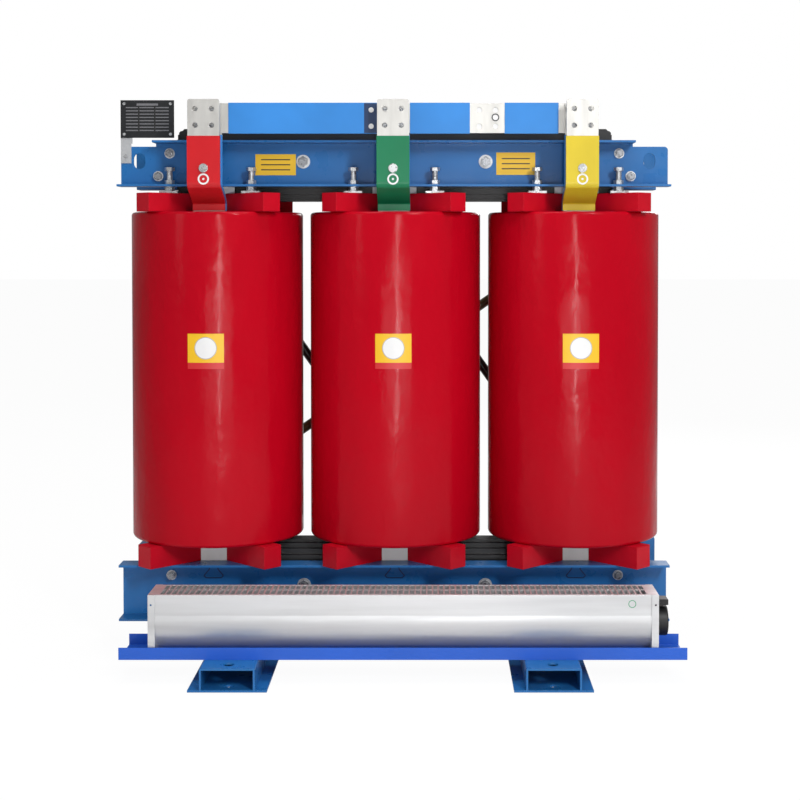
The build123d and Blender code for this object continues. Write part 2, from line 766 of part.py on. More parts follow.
for phase, x in PHASES.items():
    save(phase_bar(x), f"phase_bar_{phase}")
    save(sleeve(x, PHASE_FOOT_Y, PHASE_Y, BAR_TOP - BARE_END), f"phase_sleeve_{phase}")
save(neutral_bar(), "neutral_bar")
group([neutral_riser(x) for x in PHASES.values()], "neutral_risers")
group(neutral_sleeves(), "neutral_sleeves")


def busbar_supports():
    """Resin stand-offs behind each bar, the studs through them, and the neutral joints' bolts."""
    insulators, studs, joints = [], [], []
    half = BAR_THICK / 2 + SLEEVE
    spans = [
        (-WEB_Y - SHEET, RISER_Y + half),
        (RISER_Y - half, PHASE_Y + half),
    ]
    for x in PHASES.values():
        for rear, front in spans:
            insulators.append(
                ring(STANDOFF_R, STUD_R, rear - front, (x, rear, STANDOFF_Z), (0, -1, 0))
            )
        front = PHASE_Y - half
        with BuildPart() as stud:
            add(rod(STUD_R, (x, -PULL_Y, STANDOFF_Z), (x, front, STANDOFF_Z)))
            add(rod(12, (x, front, STANDOFF_Z), (x, front - 2, STANDOFF_Z)))
            add(hexagon(19, 7, (x, front - 2, STANDOFF_Z), (0, -1, 0)))
        studs.append(stud.part)
        rear = NEUTRAL_FRONT + BAR_THICK
        for dx in SIDES:
            for dz in SIDES:
                joint_x = x + dx * JOINT_PITCH / 2
                joint_z = NEUTRAL_Z + dz * JOINT_PITCH / 2
                head = RISER_Y - BAR_THICK / 2
                with BuildPart() as bolt:
                    add(rod(JOINT_BOLT_R, (joint_x, head, joint_z), (joint_x, rear + 8, joint_z)))
                    add(hexagon(16, 6, (joint_x, head, joint_z), (0, -1, 0)))
                    add(hexagon(16, 6, (joint_x, rear, joint_z), (0, 1, 0)))
                joints.append(bolt.part)
    return insulators, studs, joints


insulators, studs, joints = busbar_supports()
group(insulators, "busbar_insulators")
group(studs, "busbar_studs")
group(joints, "neutral_joint_bolts")


# ---------------------------------------------------------------- high-voltage side
LOW_Z, HIGH_Z = TERMINAL_Z
LINKS = {  # name: (start x, start z, end x, end z, collar length)
    "delta_link_cb": (-PITCH, HIGH_Z, 0.0, LOW_Z, COLLAR),
    "delta_link_ba": (0.0, HIGH_Z, PITCH, LOW_Z, COLLAR),
    "delta_link_ac": (PITCH, HIGH_Z, -PITCH, LOW_Z, LONG_COLLAR),
}


def delta_link(start_x, start_z, end_x, end_z, collar):
    """Insulated rod with a flat lug at each end, held on two terminal studs."""
    y = HV_BOSS_Y + collar + LUG / 2
    angle = atan2(end_z - start_z, end_x - start_x)
    step = (LUG_R - 2) * cos(angle), (LUG_R - 2) * sin(angle)
    with BuildPart() as link:
        for x, z in ((start_x, start_z), (end_x, end_z)):
            add(rod(LUG_R, (x, y - LUG / 2, z), (x, y + LUG / 2, z)))
        add(
            rod(
                LINK_R,
                (start_x + step[0], y, start_z + step[1]),
                (end_x - step[0], y, end_z - step[1]),
            )
        )
        for x, z in ((start_x, start_z), (end_x, end_z)):
            add(rod(STUD_R, (x, y - LUG, z), (x, y + LUG, z)), mode=Mode.SUBTRACT)
            nut_reach = (x, y + LUG / 2, z)
            add(rod(STUD_R * 2.2, nut_reach, (x, y + 3 * LUG, z)), mode=Mode.SUBTRACT)
            add(rod(COLLAR_R, (x, y - LUG / 2, z), (x, y - 3 * LUG, z)), mode=Mode.SUBTRACT)
    return link.part


def hv_terminals():
    studs = []
    for start_x, start_z, end_x, end_z, collar in LINKS.values():
        for x, z in ((start_x, start_z), (end_x, end_z)):
            lug_face = HV_BOSS_Y + collar + LUG
            with BuildPart() as stud:
                add(rod(COLLAR_R, (x, HV_BOSS_Y, z), (x, HV_BOSS_Y + collar, z)))
                add(rod(STUD_R, (x, HV_BOSS_Y, z), (x, lug_face + 10 + STUD_FREE, z)))
                add(hexagon(19, 10, (x, lug_face, z), (0, 1, 0)))
            studs.append(stud.part)
    return studs


def tap_panel():
    """Six tap studs on each coil, and the strap that joins two of them."""
    studs, links = [], []
    middle = (LOW_Z + HIGH_Z) / 2
    for x in PHASES.values():
        for row in (-1, 0, 1):
            for side in SIDES:
                tap_x, tap_z = x + side * TAP_X, middle + row * TAP_PITCH_Z
                with BuildPart() as stud:
                    add(rod(TAP_R + 5, (tap_x, HV_BOSS_Y, tap_z), (tap_x, HV_BOSS_Y + 6, tap_z)))
                    add(rod(TAP_R - 2, (tap_x, HV_BOSS_Y, tap_z), (tap_x, HV_BOSS_Y + 24, tap_z)))
                    add(hexagon(16, 7, (tap_x, HV_BOSS_Y + 10, tap_z), (0, 1, 0)))
                studs.append(stud.part)
        with BuildPart() as strap:
            with BuildSketch(Plane.XZ.offset(-HV_BOSS_Y - 6)):
                with Locations((x, middle)):
                    SlotCenterToCenter(2 * TAP_X, 22)
                with Locations((x - TAP_X, middle), (x + TAP_X, middle)):
                    Circle(TAP_R - 2, mode=Mode.SUBTRACT)
            extrude(amount=-4)
        links.append(strap.part)
    return studs, links


for name, ends in LINKS.items():
    save(delta_link(*ends), name)
group(hv_terminals(), "hv_terminals")
tap_studs, tap_links = tap_panel()
group(tap_studs, "tap_studs")
group(tap_links, "tap_links")


# ---------------------------------------------------------------- nameplate
def nameplate_set():
    left = -CLAMP_LENGTH / 2
    web_front = -WEB_Y - SHEET
    strip_y = web_front - PLATE[2] / 2
    plate_y = strip_y - PLATE[2]
    strip_bottom = LIFT_HOLE_Z - 6
    strip_right = -LIFT_HOLE_X - LIFT_HOLE[0] / 2 - 6
    screw_x = (left + strip_right) / 2
    with BuildPart() as strip:
        with BuildSketch(Plane.XZ.offset(-strip_y - PLATE[2] / 2)):
            with BuildLine():
                Polyline(
                    (left, strip_bottom),
                    (strip_right, strip_bottom),
                    (strip_right, EAR_TOP + 8),
                    (left + PLATE_STRIP, EAR_TOP + 8),
                    (left + PLATE_STRIP, PLATE_TOP),
                    (left, PLATE_TOP),
                    close=True,
                )
            make_face()
        extrude(amount=PLATE[2])
    plate = box(
        (PLATE[0], PLATE[2], PLATE[1]),
        (left + PLATE[0] / 2, plate_y, PLATE_TOP - PLATE[1] / 2),
    )
    screws = []
    for z in (LIFT_HOLE_Z + 14,):
        screws.append(rod(4.5, (screw_x, plate_y + 1, z), (screw_x, plate_y - 3, z)))
    for dx in (10, PLATE[0] - 10):
        for dz in (10, PLATE[1] - 10):
            face = plate_y - PLATE[2] / 2
            place = (left + dx, face, PLATE_TOP - dz)
            screws.append(rod(4, place, (left + dx, face - 2, PLATE_TOP - dz)))
    return plate, strip.part, screws


plate, strip, screws = nameplate_set()
save(plate, "nameplate")
save(strip, "nameplate_bracket")
group(screws, "nameplate_screws")


# ---------------------------------------------------------------- cross-flow fan
FAN_FLOOR = SKID_HEIGHT + TRAY_SHEET


def fan_tray():
    with BuildPart() as tray:
        with BuildSketch(Plane.YZ.offset(TRAY_LEFT)):
            with BuildLine():
                half = TRAY_SHEET / 2
                Polyline(
                    (TRAY_FRONT + half, SKID_HEIGHT + TRAY_LIP),
                    (TRAY_FRONT + half, SKID_HEIGHT + half),
                    (TRAY_REAR - half, SKID_HEIGHT + half),
                    (TRAY_REAR - half, SKID_HEIGHT + TRAY_LIP),
                )
            trace(line_width=TRAY_SHEET)
        extrude(amount=TRAY_RIGHT - TRAY_LEFT)
    return tray.part


def fan_casing():
    """Front scroll of the fan: a flat upper panel, and a bulging lower one that runs under."""
    inner = FAN_SHEET / 2
    crease = (FAN_FRONT + 3 + inner, FAN_CREASE_Z)
    lowest = (ROTOR_Y + 8, FAN_FLOOR + 2 + inner)
    belly = (FAN_FRONT + 14, (FAN_CREASE_Z + FAN_FLOOR) / 2 - 8)
    rear_y = FAN_REAR - END_SHEET
    with BuildPart() as casing:
        with BuildSketch(Plane.YZ.offset(FAN_LEFT)):
            with BuildLine():
                Line((crease[0], FAN_TOP - FAN_SHEET), crease)
                ThreePointArc(crease, belly, lowest)
            trace(line_width=FAN_SHEET)
        extrude(amount=FAN_RIGHT - FAN_LEFT)
    with BuildPart() as tongue:
        with BuildSketch(Plane.YZ.offset(FAN_LEFT)):
            with BuildLine():
                Polyline(
                    (rear_y, FAN_TOP - FAN_SHEET),
                    (rear_y, ROTOR_Z + 22),
                    (rear_y - 4, ROTOR_Z + 10),
                )
            trace(line_width=FAN_SHEET)
        extrude(amount=FAN_RIGHT - FAN_LEFT)
    return [casing.part, tongue.part]


def fan_end_plate(x, outward):
    """Flat end of the fan with a folded flange; it carries a bearing hole for the rotor."""
    with BuildPart() as plate:
        with BuildSketch(Plane.YZ.offset(x)):
            with BuildLine():
                Polyline(
                    (FAN_FRONT, FAN_FLOOR),
                    (FAN_FRONT, FAN_TOP),
                    (FAN_REAR, FAN_TOP),
                    (FAN_REAR, FAN_FLOOR),
                    close=True,
                )
            make_face()
        extrude(amount=outward * END_SHEET)
        with BuildSketch(Plane.YZ.offset(x)):
            middle = ((FAN_FRONT + FAN_REAR) / 2, (FAN_TOP + FAN_FLOOR) / 2)
            width, height = FAN_REAR - FAN_FRONT, FAN_TOP - FAN_FLOOR
            with Locations(middle):
                Rectangle(width, height)
                Rectangle(width - 2 * END_SHEET, height - 2 * END_SHEET, mode=Mode.SUBTRACT)
        extrude(amount=outward * END_FLANGE)
        with BuildSketch(Plane.YZ.offset(x)):
            with Locations((ROTOR_Y, ROTOR_Z)):
                Circle(SHAFT_R + SHAFT_CLEARANCE)
        extrude(amount=outward * END_SHEET, mode=Mode.SUBTRACT)
        hole_x = x + outward * (END_SHEET + END_FLANGE) / 2
        with BuildSketch(Plane.XZ.offset(-FAN_FRONT)):
            with Locations((hole_x, FAN_FLOOR + 12), (hole_x, FAN_TOP - 26)):
                Circle(2.5)
        extrude(amount=-END_SHEET, mode=Mode.SUBTRACT)
    return plate.part


def fan_grille():
    """Slotted guard over the outlet, folded down a little at the front and rear."""
    length = FAN_RIGHT - FAN_LEFT
    depth = FAN_REAR - FAN_FRONT - 2 * END_SHEET - 2
    pitch = (length - 20) / GRILLE_SLOTS
    middle = ((FAN_LEFT + FAN_RIGHT) / 2, (FAN_FRONT + FAN_REAR) / 2)
    with BuildPart() as grille:
        with BuildSketch(Plane.XY.offset(FAN_TOP - FAN_SHEET)):
            with Locations(middle):
                Rectangle(length, depth)
                with GridLocations(pitch, (depth - 12) / 2, GRILLE_SLOTS, 2):
                    Rectangle(pitch - GRILLE_BAR, (depth - 12) / 2 - 5, mode=Mode.SUBTRACT)
        extrude(amount=FAN_SHEET)
    return grille.part


def fan_rotor():
    """Cross-flow wheel: curved blades round the rim, held by thin discs on one shaft."""
    start = FAN_LEFT + ROTOR_END_GAP
    length = FAN_RIGHT - FAN_LEFT - 2 * ROTOR_END_GAP
    root_r = ROTOR_R - BLADE_LENGTH
    with BuildPart() as rotor:
        with BuildSketch(Plane.YZ.offset(start)) as vanes:
            for n in range(BLADES):
                turn = 360 * n / BLADES
                with BuildLine():
                    tip = Vector(ROTOR_R - BLADE_THICK, 0).rotate(Axis.Z, turn)
                    root = Vector(root_r, 0).rotate(Axis.Z, turn + 22)
                    middle = Vector(ROTOR_R - BLADE_LENGTH * 0.6, 0).rotate(Axis.Z, turn + 16)
                    centre = Vector(ROTOR_Y, ROTOR_Z)
                    ThreePointArc(centre + tip, centre + middle, centre + root)
                trace(line_width=BLADE_THICK)
        extrude(amount=length)
        for n in range(ROTOR_DISCS):
            x = start + (length - ROTOR_DISC) * n / (ROTOR_DISCS - 1)
            with BuildSketch(Plane.YZ.offset(x)):
                with Locations((ROTOR_Y, ROTOR_Z)):
                    Circle(ROTOR_R)
            extrude(amount=ROTOR_DISC)
        with BuildSketch(Plane.YZ.offset(FAN_LEFT - END_SHEET - 4)):
            with Locations((ROTOR_Y, ROTOR_Z)):
                Circle(SHAFT_R)
        extrude(amount=FAN_RIGHT - FAN_LEFT + 2 * END_SHEET + 4 + SHAFT_END)
    return rotor.part


def fan_motor():
    """External-rotor motor drum beside the right end plate, on a short neck."""
    neck = FAN_RIGHT + END_SHEET
    drum = FAN_RIGHT + END_FLANGE + 1
    with BuildPart() as motor:
        with BuildSketch(Plane.YZ.offset(neck)):
            with Locations((ROTOR_Y, ROTOR_Z)):
                Circle(MOTOR_R * 0.6)
        extrude(amount=drum - neck)
        with BuildSketch(Plane.YZ.offset(drum)):
            with Locations((ROTOR_Y, ROTOR_Z)):
                Circle(MOTOR_R)
        extrude(amount=MOTOR_LENGTH)
        fillet(motor.faces().sort_by(Axis.X)[-1].edges(), 4)
        with BuildSketch(Plane.YZ.offset(neck)):
            with Locations((ROTOR_Y, ROTOR_Z)):
                Circle(SHAFT_R + SHAFT_CLEARANCE)
        extrude(amount=SHAFT_END + 1, mode=Mode.SUBTRACT)
    return motor.part


CAPACITOR = (28.0, 40.0, 15.0)
CAPACITOR_TOP = 208.0


def fan_capacitor():
    x = FAN_RIGHT + END_FLANGE + CAPACITOR[0] / 2
    with BuildPart() as block:
        with Locations((x, ROTOR_Y - 15, CAPACITOR_TOP - CAPACITOR[2] / 2)):
            Box(*CAPACITOR)
        fillet(block.edges().filter_by(Axis.Y), 2)
    return block.part


def fan_leads():
    """Three short leads from the terminal block down to the motor."""
    leads = []
    bottom = CAPACITOR_TOP - CAPACITOR[2]
    drum_top = ROTOR_Z + MOTOR_R
    for n in range(3):
        x = FAN_RIGHT + END_FLANGE + 5 + 7 * n
        y = ROTOR_Y - 6 + 6 * n
        start = (x, y, bottom)
        end = (x, y, drum_top)
        leads.append(rod(LEAD_R, start, end))
    return leads


save(fan_tray(), "fan_tray")
group(fan_casing(), "fan_casing")
save(fan_end_plate(FAN_LEFT, -1), "fan_end_plate_left")
save(fan_end_plate(FAN_RIGHT, 1), "fan_end_plate_right")
save(fan_grille(), "fan_grille")
save(fan_rotor(), "fan_rotor")
save(fan_motor(), "fan_motor")
save(fan_capacitor(), "fan_capacitor")
group(fan_leads(), "fan_leads")
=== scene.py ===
"""Looks of the cast-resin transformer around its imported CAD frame. Metres, +Z up, -Y the front."""
import json
from math import cos, pi, sin

import bpy
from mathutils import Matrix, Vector


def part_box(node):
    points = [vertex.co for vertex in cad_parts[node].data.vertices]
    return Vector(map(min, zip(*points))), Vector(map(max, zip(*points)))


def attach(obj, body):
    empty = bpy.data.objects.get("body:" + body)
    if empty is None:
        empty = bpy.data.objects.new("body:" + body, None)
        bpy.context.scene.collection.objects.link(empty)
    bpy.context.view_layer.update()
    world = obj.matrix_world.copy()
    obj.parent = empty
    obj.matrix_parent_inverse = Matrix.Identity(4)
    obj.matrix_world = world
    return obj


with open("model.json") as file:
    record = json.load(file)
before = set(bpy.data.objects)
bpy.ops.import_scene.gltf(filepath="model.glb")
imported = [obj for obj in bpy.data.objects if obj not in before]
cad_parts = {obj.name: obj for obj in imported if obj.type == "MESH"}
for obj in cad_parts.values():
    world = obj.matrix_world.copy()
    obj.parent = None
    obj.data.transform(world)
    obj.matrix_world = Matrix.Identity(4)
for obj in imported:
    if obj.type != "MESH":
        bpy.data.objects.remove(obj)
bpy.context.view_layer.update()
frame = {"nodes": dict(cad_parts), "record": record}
NODES = frame["nodes"]
ROOT = "transformer"

# ---------------------------------------------------------------- colours by material (linear)
COLOUR = {
    "core_steel": (0.022, 0.022, 0.024),
    "cast_resin": (0.50, 0.0015, 0.012),
    "lv_resin": (0.12, 0.030, 0.020),
    "blue_paint": (0.018, 0.155, 0.430),
    "tray_blue": (0.018, 0.115, 0.600),
    "pad_red": (0.56, 0.003, 0.016),
    "white_board": (0.90, 0.90, 0.88),
    "rubber": (0.012, 0.012, 0.012),
    "tinned_copper": (0.66, 0.65, 0.62),
    "sleeve_red": (0.62, 0.012, 0.018),
    "sleeve_green": (0.008, 0.200, 0.085),
    "sleeve_yellow": (0.72, 0.55, 0.030),
    "sleeve_blue": (0.045, 0.260, 0.700),
    "insulator_resin": (0.25, 0.020, 0.016),
    "link_black": (0.010, 0.010, 0.011),
    "link_olive": (0.060, 0.062, 0.022),
    "brass": (0.62, 0.44, 0.18),
    "aluminium": (0.70, 0.71, 0.72),
    "black_plastic": (0.014, 0.014, 0.015),
    "lead_insulation": (0.45, 0.020, 0.020),
    "black_plate": (0.012, 0.013, 0.015),
    "grey_plate": (0.45, 0.46, 0.47),
    "zinc": (0.60, 0.61, 0.62),
    # The two zinc tones below are painted light on one metal: bolt heads darker as painted shade,
    # washers lighter as painted highlight.
    "shaded_bolt_zinc": (0.38, 0.39, 0.41),
    "lit_washer_zinc": (0.70, 0.70, 0.70),
    "print_yellow": (0.85, 0.50, 0.010),
    "print_white": (0.80, 0.80, 0.80),
    "print_red": (0.60, 0.015, 0.020),
    "print_black": (0.010, 0.010, 0.010),
    "print_green": (0.010, 0.300, 0.120),
    "print_grey": (0.16, 0.16, 0.17),
    "print_navy": (0.006, 0.030, 0.100),
    "print_silver": (0.42, 0.43, 0.45),
    "floor": (0.80, 0.80, 0.80),
}

# ---------------------------------------------------------------- materials
COAT_ROUGHNESS = 0.05
BEVEL_SAMPLES = 6
WAVE_PERIOD = 0.314  # of Blender's wave texture at scale 1
NOISE_LOW, NOISE_HIGH = 0.3, 0.7  # nearly all of a noise lies between these
ALONG_X, ALONG_Z = (0.05, 1, 1), (1, 1, 0.2)  # brushed grain


class Shader:
    """A Principled material with small helpers for procedural colour, gloss and relief."""

    def __init__(self, name, roughness, metallic=0.0, coat=0.0, specular=0.5):
        self.name = name  # the material's own may get a number, since the frame has some too
        self.mat = bpy.data.materials.new(name)
        self.mat.use_nodes = True
        self.tree = self.mat.node_tree
        self.bsdf = self.tree.nodes["Principled BSDF"]
        self.colour = (*COLOUR[name], 1.0)
        for socket, value in (
            ("Base Color", self.colour),
            ("Roughness", roughness),
            ("Metallic", metallic),
            ("Coat Weight", coat),
            ("Coat Roughness", COAT_ROUGHNESS),
            ("Specular IOR Level", specular),
        ):
            self.bsdf.inputs[socket].default_value = value
        self.mat.diffuse_color = self.colour
        self.place = self.tree.nodes.new("ShaderNodeTexCoord").outputs["Object"]
        self.relief = None

    def link(self, a, b):
        self.tree.links.new(a, b)

    def noise(self, scale, detail=3.0, stretch=(1, 1, 1)):
        mapping = self.tree.nodes.new("ShaderNodeMapping")
        mapping.inputs["Scale"].default_value = stretch
        self.link(self.place, mapping.inputs["Vector"])
        node = self.tree.nodes.new("ShaderNodeTexNoise")
        node.inputs["Scale"].default_value = scale
        node.inputs["Detail"].default_value = detail
        self.link(mapping.outputs[0], node.inputs["Vector"])
        return node.outputs["Fac"]

    def stripes(self, axis, pitch):
        node = self.tree.nodes.new("ShaderNodeTexWave")
        node.bands_direction = axis
        node.inputs["Scale"].default_value = WAVE_PERIOD / pitch
        node.inputs["Distortion"].default_value = 0.0
        self.link(self.place, node.inputs["Vector"])
        return node.outputs["Fac"]

    def spread(self, fac, low, high):
        """Maps a noise onto low to high."""
        node = self.tree.nodes.new("ShaderNodeMapRange")
        node.inputs["From Min"].default_value = NOISE_LOW
        node.inputs["From Max"].default_value = NOISE_HIGH
        node.inputs["To Min"].default_value = low
        node.inputs["To Max"].default_value = high
        self.link(fac, node.inputs["Value"])
        return node.outputs["Result"]

    def vary_colour(self, fac, depth):
        """Darkens the colour by up to `depth` where fac is high."""
        mix = self.tree.nodes.new("ShaderNodeMix")
        mix.data_type = "RGBA"
        mix.inputs["A"].default_value = self.colour
        mix.inputs["B"].default_value = tuple(c * (1 - depth) for c in self.colour[:3]) + (1.0,)
        self.link(self.spread(fac, 0, 1), mix.inputs["Factor"])
        self.link(mix.outputs["Result"], self.bsdf.inputs["Base Color"])
        return self

    def vary_roughness(self, fac, low, high):
        self.link(self.spread(fac, low, high), self.bsdf.inputs["Roughness"])
        return self

    def bump(self, fac, height, strength=1.0):
        node = self.tree.nodes.new("ShaderNodeBump")
        node.inputs["Distance"].default_value = height
        node.inputs["Strength"].default_value = strength
        self.link(fac, node.inputs["Height"])
        if self.relief:
            self.link(self.relief, node.inputs["Normal"])
        self.relief = node.outputs["Normal"]
        self.link(self.relief, self.bsdf.inputs["Normal"])
        return self

    def soft_edges(self, radius):
        node = self.tree.nodes.new("ShaderNodeBevel")
        node.samples = BEVEL_SAMPLES
        node.inputs["Radius"].default_value = radius
        self.relief = node.outputs["Normal"]
        self.link(self.relief, self.bsdf.inputs["Normal"])
        return self


def paint(name, roughness=0.30, edge=0.0012):
    """Gloss paint with slow changes of tone and a fine orange peel."""
    s = Shader(name, roughness, coat=0.08, specular=0.35).soft_edges(edge)
    s.vary_colour(s.noise(5.0, detail=4), depth=0.12)
    s.vary_roughness(s.noise(18.0), roughness - 0.06, roughness + 0.10)
    return s.bump(s.noise(260.0, detail=2), height=0.0004, strength=0.25)


def metal(name, roughness, grain=(1, 1, 1), edge=0.0005):
    """Plated or brushed metal; `grain` draws its noise out along one axis."""
    s = Shader(name, roughness, metallic=0.7).soft_edges(edge)
    s.vary_colour(s.noise(30.0, 4, grain), depth=0.18)
    return s.vary_roughness(s.noise(70.0, 3, grain), roughness - 0.06, roughness + 0.12)


def resin(name):
    """Glossy casting with shallow ripples left by the mould's lining."""
    s = Shader(name, 0.20, coat=0.03, specular=0.11)
    s.vary_colour(s.noise(3.0, stretch=(1, 1, 0.35)), depth=0.16)
    s.vary_roughness(s.noise(9.0), 0.13, 0.24)
    s.bump(s.noise(13.0, stretch=(1, 1, 0.6)), height=0.009, strength=0.45)
    return s.bump(s.noise(60.0, detail=2), height=0.0004, strength=0.30)


def laminations(name):
    """Stacked core sheets, drawn coarser than real ones so that they can be seen."""
    s = Shader(name, 0.38, specular=0.4)
    s.vary_colour(s.noise(12.0, stretch=(0.2, 1, 1)), depth=0.5)
    return s.bump(s.stripes("Y", pitch=0.004), height=0.0012, strength=0.8)


def matte(name, roughness=0.5, edge=0.0015, specular=0.4):
    s = Shader(name, roughness, specular=specular).soft_edges(edge)
    s.vary_colour(s.noise(14.0, detail=4), depth=0.10)
    return s.bump(s.noise(120.0, detail=2), height=0.0005, strength=0.3)


def sleeve(name):
    """Shrunk tube: satin, with faint lengthwise ripples."""
    s = Shader(name, 0.30, coat=0.08, specular=0.3).soft_edges(0.0015)
    s.vary_colour(s.noise(7.0), depth=0.14)
    return s.bump(s.noise(34.0, 2, stretch=(1, 1, 0.3)), height=0.0015, strength=0.25)


MATERIALS = {
    shader.name: shader.mat
    for shader in (
        laminations("core_steel"),
        resin("cast_resin"),
        matte("lv_resin", 0.5),
        paint("blue_paint"),
        paint("tray_blue", 0.36, edge=0.0008),
        matte("pad_red", 0.36, edge=0.002, specular=0.2),
        matte("white_board", 0.55, edge=0.0005),
        matte("rubber", 0.7),
        metal("tinned_copper", 0.42, ALONG_Z, edge=0.001),
        sleeve("sleeve_red"),
        sleeve("sleeve_green"),
        sleeve("sleeve_yellow"),
        sleeve("sleeve_blue"),
        matte("insulator_resin", 0.4),
        sleeve("link_black"),
        sleeve("link_olive"),
        metal("brass", 0.30),
        metal("aluminium", 0.42, ALONG_X, edge=0.0006),
        matte("black_plastic", 0.45, edge=0.001),
        Shader("lead_insulation", 0.4),
        paint("black_plate", 0.40, edge=0.0003),
        paint("grey_plate", 0.42, edge=0.0003),
        metal("zinc", 0.26, edge=0.0004),
        # Painted shade on the bolt heads and a painted highlight on the washers, both of the zinc
        # slot.
        metal("shaded_bolt_zinc", 0.24),
        metal("lit_washer_zinc", 0.45),
    )
}
REPAINTED = {"pad_strips": "pad_red"}  # nodes shown in another slot's finish
LIT_AND_SHADED_TONES = {"clamp_bolts": "shaded_bolt_zinc", "clamp_washers": "lit_washer_zinc"}  # within one slot: darker bolt heads as painted shade, lighter washers as painted highlight

for part in frame["record"]["subparts"]:
    name = part["node"]
    node = NODES[name]
    finish = REPAINTED.get(name, part["material_slot"])
    node.data.materials.clear()
    node.data.materials.append(MATERIALS[LIT_AND_SHADED_TONES.get(name, finish)])

# Navy and white also draw the painted shadow and its painted light spots on the neutral sleeve.
PRINT_ROUGHNESS = 0.38
PRINT = {
    name: Shader(f"print_{name}", PRINT_ROUGHNESS).mat
    for name in ("yellow", "white", "red", "black", "green", "grey", "navy", "silver")
}

# ---------------------------------------------------------------- thin labels as geometry
LABEL_LIFT = 0.0001  # clear of the surface below
LABEL_THICK = 0.0004
PINHOLE = 0.01  # share of a disc's radius left open, so that each quad has four corners
SHEET = 0.006  # thickness of the clamps' webs and flanges


def rect(width, height, at=(0, 0), steps=1):
    """Quads of a rectangle in the label's own (across, up) plane, cut in steps to bend."""
    left, low = at[0] - width / 2, at[1] - height / 2
    us = [left + width * i / steps for i in range(steps + 1)]
    return [
        [(a, low), (b, low), (b, low + height), (a, low + height)] for a, b in zip(us, us[1:])
    ]


def disc(outer, inner=0.0, at=(0, 0), steps=48):
    """Quads of a ring, or of a disc when inner is 0."""
    inner = max(inner, outer * PINHOLE)

    def point(r, i):
        return at[0] + r * cos(2 * pi * i / steps), at[1] + r * sin(2 * pi * i / steps)

    return [
        [point(inner, i), point(outer, i), point(outer, i + 1), point(inner, i + 1)]
        for i in range(steps)
    ]


def stroke(a, b, width):
    """One quad: a straight stroke from a to b."""
    along = (Vector(b) - Vector(a)).normalized()
    side = Vector((-along.y, along.x)) * width / 2
    return [[tuple(Vector(p) + s * side) for p, s in ((a, -1), (b, -1), (b, 1), (a, 1))]]


def bars(width, pitch, count, thick=0.003):
    """Plain bars, one above the other, in place of print."""
    rises = [(count / 2 - 0.5 - i) * pitch for i in range(count)]
    return [quad for rise in rises for quad in rect(width, thick, (0, rise))]


def centre(low, high):
    """Middle of a box across and up."""
    return (low.x + high.x) / 2, (low.z + high.z) / 2


def on_plane(x, y, z):
    """A label that faces the front, on a flat face at y."""
    return lambda u, v, lift: (x + u, y - lift, z + v)


def on_coil(x, radius, z):
    """A label wrapped round the front of a coil."""
    return lambda u, v, lift: (
        x + (radius + lift) * sin(u / radius),
        -(radius + lift) * cos(u / radius),
        z + v,
    )


def label(name, quads, place, colour, layer=0):
    """Thin closed plates laid on the surface that `place` describes; higher layers lie on top."""
    base = LABEL_LIFT + layer * LABEL_THICK
    verts, faces = [], []
    for quad in quads:
        n = len(verts)
        area = sum(a[0] * b[1] - b[0] * a[1] for a, b in zip(quad, quad[1:] + quad[:1]))
        quad = quad if area > 0 else quad[::-1]
        verts += [place(u, v, base) for u, v in quad]
        verts += [place(u, v, base + LABEL_THICK) for u, v in quad]
        faces.append((n + 4, n + 5, n + 6, n + 7))
        faces.append((n + 3, n + 2, n + 1, n))
        faces += [(n + i, n + (i + 1) % 4, n + 4 + (i + 1) % 4, n + 4 + i) for i in range(4)]
    mesh = bpy.data.meshes.new(name)
    mesh.from_pydata(verts, [], faces)
    mesh.materials.append(PRINT[colour])
    obj = bpy.data.objects.new(name, mesh)
    bpy.context.collection.objects.link(obj)
    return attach(obj, ROOT)


# ---------------------------------------------------------------- coil labels
COIL_LABEL = (0.098, 0.078)
COIL_LABEL_STEPS = 16
COIL_LABEL_RISE = 0.087  # from the middle of the coil
COIL_STRIP = 0.017
COIL_DISC, COIL_RIM = 0.028, 0.030


def coil_label(phase):
    """A plain yellow field with a rimmed white disc, and a red strip below it."""
    low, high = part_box(f"hv_coil_{phase}")
    x, z = centre(low, high)
    here = on_coil(x, (high.x - low.x) / 2, z + COIL_LABEL_RISE)
    width, height = COIL_LABEL
    drop = (0, -(height + COIL_STRIP) / 2)
    name = f"coil_label_{phase}"
    label(f"{name}_field", rect(width, height, steps=COIL_LABEL_STEPS), here, "yellow")
    label(f"{name}_strip", rect(width, COIL_STRIP, drop, COIL_LABEL_STEPS), here, "red")
    label(f"{name}_disc", disc(COIL_DISC), here, "white", 1)
    label(f"{name}_rim", disc(COIL_RIM, COIL_DISC), here, "silver", 1)


for phase in "cba":
    coil_label(phase)

# ---------------------------------------------------------------- clamp labels
CLAMP_LABEL_RISE = 0.062  # from the clamp's lower edge
CLAMP_BARS_WIDTH = 0.72  # share of the label's width
CLAMP_BARS_PITCH, CLAMP_BARS_COUNT = 0.014, 3

low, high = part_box("upper_clamp_front")
for side, x, size, rise in (
    ("left", -0.329, (0.112, 0.058), 0.0),
    ("right", 0.336, (0.108, 0.062), 0.003),
):
    here = on_plane(x, high.y - SHEET, low.z + CLAMP_LABEL_RISE + rise)
    print_bars = bars(size[0] * CLAMP_BARS_WIDTH, CLAMP_BARS_PITCH, CLAMP_BARS_COUNT)
    label(f"clamp_label_{side}_field", rect(*size), here, "yellow")
    label(f"clamp_label_{side}_bars", print_bars, here, "black", 1)

